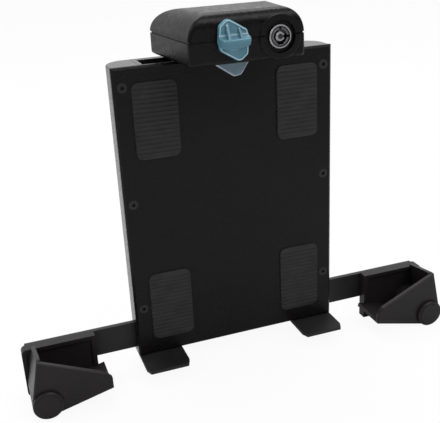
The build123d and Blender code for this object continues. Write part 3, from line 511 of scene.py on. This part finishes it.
def ease_edges(obj: bpy.types.Object, width: float, segments: int = 2, angle: float = 32.0) -> None:
    """Rounds the sharp edges of an object so that they catch the light.

    Args:
        obj: object to treat.
        width: width of the rounding in millimetres.
        segments: how many faces each rounding has.
        angle: edges that turn by more than this many degrees are rounded.
    """
    for polygon in obj.data.polygons:
        polygon.use_smooth = True
    bevel = obj.modifiers.new("eased_edges", "BEVEL")
    bevel.width = width * MM
    bevel.segments = segments
    bevel.limit_method = "ANGLE"
    bevel.angle_limit = math.radians(angle)
    bevel.harden_normals = True
    bevel.use_clamp_overlap = True


@dataclass(frozen=True)
class PadPlace:
    """Where one ribbed rubber pad lies: its back plane, its two axes and the way it faces.

    Sizes are in millimetres. The outline is given along the two axes.
    """

    name: str
    node: str
    body: str
    origin: Point
    across: Point
    along: Point
    facing: Point
    outline: Outline
    base: float


def rounded_rectangle(width: float, height: float, radius: float, steps: int = 6) -> Outline:
    """Outline of a rectangle with round corners, centred on the origin.

    Args:
        width: whole width.
        height: whole height.
        radius: radius of the corners.
        steps: how many straight runs each corner has.

    Returns:
        The corners' points in order.
    """
    points = []
    centres = ((1, 1), (-1, 1), (-1, -1), (1, -1))
    for turn, (x, y) in enumerate(centres):
        for step in range(steps + 1):
            angle = math.radians(90 * (turn + step / steps))
            middle = (x * (width / 2 - radius), y * (height / 2 - radius))
            points.append((middle[0] + radius * math.cos(angle), middle[1] + radius * math.sin(angle)))
    return tuple(points)


@dataclass
class RubberPads:
    """Rubber pads that touch the tablet, each with a field of moulded ribs."""

    finishes: Finishes
    pitch: float = 2.6
    rib_width: float = 1.7
    rib_height: float = 0.4
    rib_slope: float = 0.3
    border: float = 1.4
    back_pad: tuple[float, float, float] = (26.0, 44.0, 4.0)
    back_pad_place: tuple[float, float] = (43.0, 58.0)
    back_pad_rear: float = -23.4
    back_pad_base: float = 1.4
    head_pad: tuple[float, float, float] = (54.0, 18.0, 1.2)
    head_pad_place: Point = (0.0, -36.0, 91.0)
    head_pad_base: float = 0.8
    post: tuple[float, float] = (126.1, -91.2)
    liner_front: float = -46.7
    liner_base: float = 0.6
    liner_outline: Outline = ((8.7, 3.0), (2.4, 22.2), (31.0, 10.2), (35.2, 6.6), (17.4, 3.0))

    def places(self) -> list[PadPlace]:
        """Every pad's place."""
        found = []
        back = rounded_rectangle(*self.back_pad)
        for side_x, side_z in ((-1, -1), (-1, 1), (1, -1), (1, 1)):
            origin = (side_x * self.back_pad_place[0], self.back_pad_rear, side_z * self.back_pad_place[1])
            level = "upper" if side_z > 0 else "lower"
            side = "right" if side_x > 0 else "left"
            found.append(PadPlace(
                f"back_pad_{level}_{side}", "back_pads", "base", origin,
                (1, 0, 0), (0, 0, 1), (0, -1, 0), back, self.back_pad_base,
            ))
        found.append(PadPlace(
            "head_rest_pad", "head_pad", "carriage", self.head_pad_place,
            (1, 0, 0), (0, 1, 0), (0, 0, -1), rounded_rectangle(*self.head_pad), self.head_pad_base,
        ))
        for side, name in ((-1, "left"), (1, "right")):
            origin = (side * self.post[0], self.liner_front, self.post[1])
            found.append(PadPlace(
                f"cup_rib_liner_{name}", f"cup_liner_{name}", "base", origin,
                (-side, 0, 0), (0, 0, 1), (0, 1, 0), self.liner_outline, self.liner_base,
            ))
        return found

    def build(self) -> list[str]:
        """Makes the pads in place of their plain solids.

        Returns:
            The names of the new pads.
        """
        done = []
        for place in self.places():
            pad = self.pad(place)
            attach(pad, place.body)
            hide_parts(place.node)
            done.append(pad.name)
        return done

    def pad(self, place: PadPlace) -> bpy.types.Object:
        """Makes one pad: a flat body with a rib on every strip of its face.

        Args:
            place: where the pad lies and its outline.

        Returns:
            The pad's object.
        """
        mesh = bpy.data.meshes.new(place.name)
        made = bmesh.new()
        corners = [made.verts.new((x, y, 0.0)) for x, y in place.outline]
        made.faces.new(corners)
        strips = self.cut_strips(made, place)
        top = bmesh.ops.extrude_face_region(made, geom=made.faces[:])
        raised = [item for item in top["geom"] if isinstance(item, bmesh.types.BMVert)]
        bmesh.ops.translate(made, verts=raised, vec=(0.0, 0.0, place.base))
        bmesh.ops.recalc_face_normals(made, faces=made.faces)
        ribs = [face for face in made.faces if self.is_rib(face, place, strips)]
        bmesh.ops.inset_individual(made, faces=ribs, thickness=self.rib_slope, depth=self.rib_height)
        axes = Matrix((place.across, place.along, place.facing)).transposed()
        bmesh.ops.transform(made, matrix=Matrix.Translation(place.origin) @ axes.to_4x4(), verts=made.verts)
        bmesh.ops.scale(made, vec=(MM, MM, MM), verts=made.verts)
        bmesh.ops.recalc_face_normals(made, faces=made.faces)
        made.to_mesh(mesh)
        made.free()
        pad = bpy.data.objects.new(place.name, mesh)
        bpy.context.scene.collection.objects.link(pad)
        self.finishes.dress(pad, "rubber")
        ease_edges(pad, 0.15, 2)
        return pad

    def cut_strips(self, made: bmesh.types.BMesh, place: PadPlace) -> list[tuple[float, float]]:
        """Cuts the flat face into strips.

        Args:
            made: mesh that holds the one face.
            place: the pad's place.

        Returns:
            The low and high edge of each rib along the pad.
        """
        heights = [y for _, y in place.outline]
        low, high = min(heights) + self.border, max(heights) - self.border
        count = int((high - low + self.pitch - self.rib_width) // self.pitch)
        start = (low + high - (count - 1) * self.pitch - self.rib_width) / 2
        lows = [start + index * self.pitch for index in range(count)]
        ribs = [(edge, edge + self.rib_width) for edge in lows]
        for edges in ribs:
            for level in edges:
                geometry = made.verts[:] + made.edges[:] + made.faces[:]
                bmesh.ops.bisect_plane(made, geom=geometry, plane_co=(0, level, 0), plane_no=(0, 1, 0))
        return ribs

    def is_rib(
        self, face: bmesh.types.BMFace, place: PadPlace, strips: list[tuple[float, float]]
    ) -> bool:
        """Whether a face is a strip of the pad's outer side that carries a rib."""
        middle = face.calc_center_median()
        flat = abs(face.normal.z) > FLAT_NORMAL and abs(middle.z - place.base) < SAME_LEVEL
        return flat and any(low < middle.y < high for low, high in strips)


@dataclass
class Dressing:
    """How a group of CAD nodes looks."""

    finish: str
    nodes: Sequence[str]
    edge: float = 0.0
    segments: int = 2


@dataclass
class CadPieces:
    """Every CAD node that is shown as it is, with its finish."""

    finishes: Finishes
    groups: Sequence[Dressing] = field(default_factory=lambda: (
        Dressing("housing_plastic", ("rear_housing",), 0.4, 3),
        Dressing("black_plastic", ("front_cover",), 0.0),
        Dressing("housing_plastic", ("inner_slide",), 0.4, 3),
        Dressing("black_plastic", ("knob_bush", "bolt_guide", "hub_spacer"), 0.0),
        Dressing("black_plastic", ("head_lower_shell", "head_upper_shell"), 0.25, 2),
        Dressing("cup_plastic", ("corner_cup_left", "corner_cup_right"), 0.35, 3),
        Dressing("cup_plastic", ("rear_block_left", "rear_block_right"), 0.35, 3),
        Dressing("cup_plastic", ("cup_cap_left", "cup_cap_right"), 0.0),
        Dressing("black_steel", ("cross_bar", "bottom_ledge_left", "bottom_ledge_right"), 0.3, 3),
        Dressing("black_steel", ("head_bracket", "cover_screws", "ledge_screws", "head_screws"), 0.0),
        Dressing("rubber", ("stop_pads",), 0.3, 3),
        Dressing("brass", ("mount_inserts",), 0.0),
        Dressing("lock_metal", ("lock_cylinder", "key_plug"), 0.0),
        Dressing("knob_plastic", ("knob",), 0.25, 3),
        Dressing("paddle_plastic", ("retaining_paddle",), 0.3, 3),
        Dressing("plain_steel", (
            "bar_screws", "cup_bolts", "block_screws", "lock_rack", "rack_screws", "spring_anchors",
            "slide_hooks", "bracket_screws", "bracket_rivets", "lock_nut", "return_spring_left",
            "return_spring_right", "knob_shaft", "friction_washer", "shaft_clip", "crank", "lock_bar",
            "lock_bolt"), 0.0),
    ))

    def build(self) -> list[str]:
        """Dresses the nodes.

        Returns:
            The names of the dressed nodes.
        """
        done = []
        for group in self.groups:
            for name in group.nodes:
                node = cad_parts[name]
                self.finishes.dress(node, group.finish)
                if group.edge:
                    ease_edges(node, group.edge, group.segments)
                done.append(name)
        return done


@dataclass(frozen=True)
class Lamp:
    """One soft area lamp: its place, the point it faces, its size in metres and its power in watts."""

    name: str
    place: Point
    aim: Point
    size: tuple[float, float]
    power: float


LAMPS = (
    Lamp("top_lamp", (0.1, 0.5, 1.25), (0.0, -0.03, 0.0), (1.2, 0.8), 15.0),
    Lamp("left_lamp", (-1.1, -0.3, 1.0), (0.0, 0.0, 0.0), (0.6, 0.6), 4.2),
    Lamp("front_lamp", (0.6, -1.2, 1.3), (0.0, 0.0, 0.0), (1.2, 0.8), 13.0),
)


@dataclass
class Studio:
    """Camera, floor, world and lamps."""

    camera_place: Point = (-0.139357, -0.415585, 0.160799)
    right: Point = (0.94082, -0.33525, -0.04962)
    down: Point = (-0.16751, -0.33275, -0.92802)
    forward: Point = (0.29460, 0.88141, -0.36921)
    lens: float = 60.31
    sensor: float = 36.0
    floor_height: float = -0.1005
    floor_size: float = 8.0
    floor_colour: Colour = (0.62, 0.62, 0.62)
    floor_roughness: float = 0.9
    floor_gleam: float = 0.1
    floor_shown: float = 0.93
    floor_gloss: float = 0.05
    world_front: float = 0.08
    world_back: float = 1.0
    world_slope: float = 0.7
    world_band: tuple[float, float] = (-0.5, 0.6)
    clip: tuple[float, float] = (0.01, 50.0)

    def build(self) -> None:
        """Makes the whole studio."""
        self.camera()
        self.floor()
        self.world()
        self.lamps()
        bpy.context.scene.view_settings.view_transform = "Standard"

    def camera(self) -> None:
        """Puts the camera where the photograph was taken."""
        data = bpy.data.cameras.new("camera")
        data.lens = self.lens
        data.sensor_width = self.sensor
        data.clip_start, data.clip_end = self.clip
        camera = bpy.data.objects.new("camera", data)
        bpy.context.scene.collection.objects.link(camera)
        axes = Matrix((self.right, [-v for v in self.down], [-v for v in self.forward])).transposed()
        camera.matrix_world = Matrix.Translation(self.camera_place) @ axes.to_4x4()
        bpy.context.scene.camera = camera

    def floor(self) -> None:
        """Lays a pale floor that nearly reads white to the camera and keeps a shadow."""
        mesh = bpy.data.meshes.new("floor")
        half = self.floor_size / 2
        corners = [(-half, -half, 0), (half, -half, 0), (half, half, 0), (-half, half, 0)]
        mesh.from_pydata(corners, [], [(0, 1, 2, 3)])
        floor = bpy.data.objects.new("floor", mesh)
        floor.location = (0, 0, self.floor_height)
        bpy.context.scene.collection.objects.link(floor)
        tree = Surface("pale_floor")
        tree.surface(
            Base_Color=(*self.floor_colour, 1.0),
            Roughness=self.floor_roughness,
            Specular_IOR_Level=self.floor_gleam,
        )
        glow = tree.node("ShaderNodeEmission", None, {"Color": (1.0, 1.0, 1.0, 1.0), "Strength": 1.0})
        shown = tree.light_path("Camera") * self.floor_shown + tree.light_path("Glossy") * self.floor_gloss
        mixed = tree.node("ShaderNodeMixShader", None, {
            0: shown.clamp(0.0, 1.0), 1: tree.shader.outputs[0], 2: glow.outputs[0]})
        output = tree.nodes["Material Output"]
        tree.links.new(mixed.outputs[0], output.inputs["Surface"])
        mesh.materials.append(tree.material)

    def world(self) -> None:
        """White behind the object, and light that comes mostly from above and behind it."""
        world = bpy.data.worlds.new("studio_world")
        bpy.context.scene.world = world
        tree = Tree(world)
        background = tree.nodes["Background"]
        background.inputs["Color"].default_value = (1.0, 1.0, 1.0, 1.0)
        rearward = tree.along(Axis.Y, "Generated") * self.world_slope
        height = rearward + tree.along(Axis.Z, "Generated") * self.world_slope
        light = height.ramp(*self.world_band) * (self.world_back - self.world_front) + self.world_front
        shown = (tree.light_path("Camera") + tree.light_path("Transmission")).clamp(0.0, 1.0)
        tree.feed(background.inputs["Strength"], light + (1.0 - light) * shown)

    def lamps(self) -> None:
        """Hangs three large soft lamps: over and behind, to the left, and beside the camera."""
        for lamp in LAMPS:
            data = bpy.data.lights.new(lamp.name, "AREA")
            data.shape = "RECTANGLE"
            data.size, data.size_y = lamp.size
            data.energy = lamp.power
            made = bpy.data.objects.new(lamp.name, data)
            made.location = lamp.place
            made.rotation_mode = "QUATERNION"
            made.rotation_quaternion = (Vector(lamp.aim) - Vector(lamp.place)).to_track_quat("-Z", "Y")
            bpy.context.scene.collection.objects.link(made)


def report(title: str, names: Iterable[str]) -> None:
    """Logs what a builder made.

    Args:
        title: the builder's name.
        names: the pieces it made or dressed.
    """
    for name in names:
        LOG.info("%s: %s", title, name)


def main() -> None:
    """Builds the studio and the object."""
    logging.basicConfig(level=logging.INFO)
    finishes = Finishes()
    Studio().build()
    report("dressed", CadPieces(finishes).build())
    report("ribbed pads", RubberPads(finishes).build())


if __name__ == "__main__":
    main()
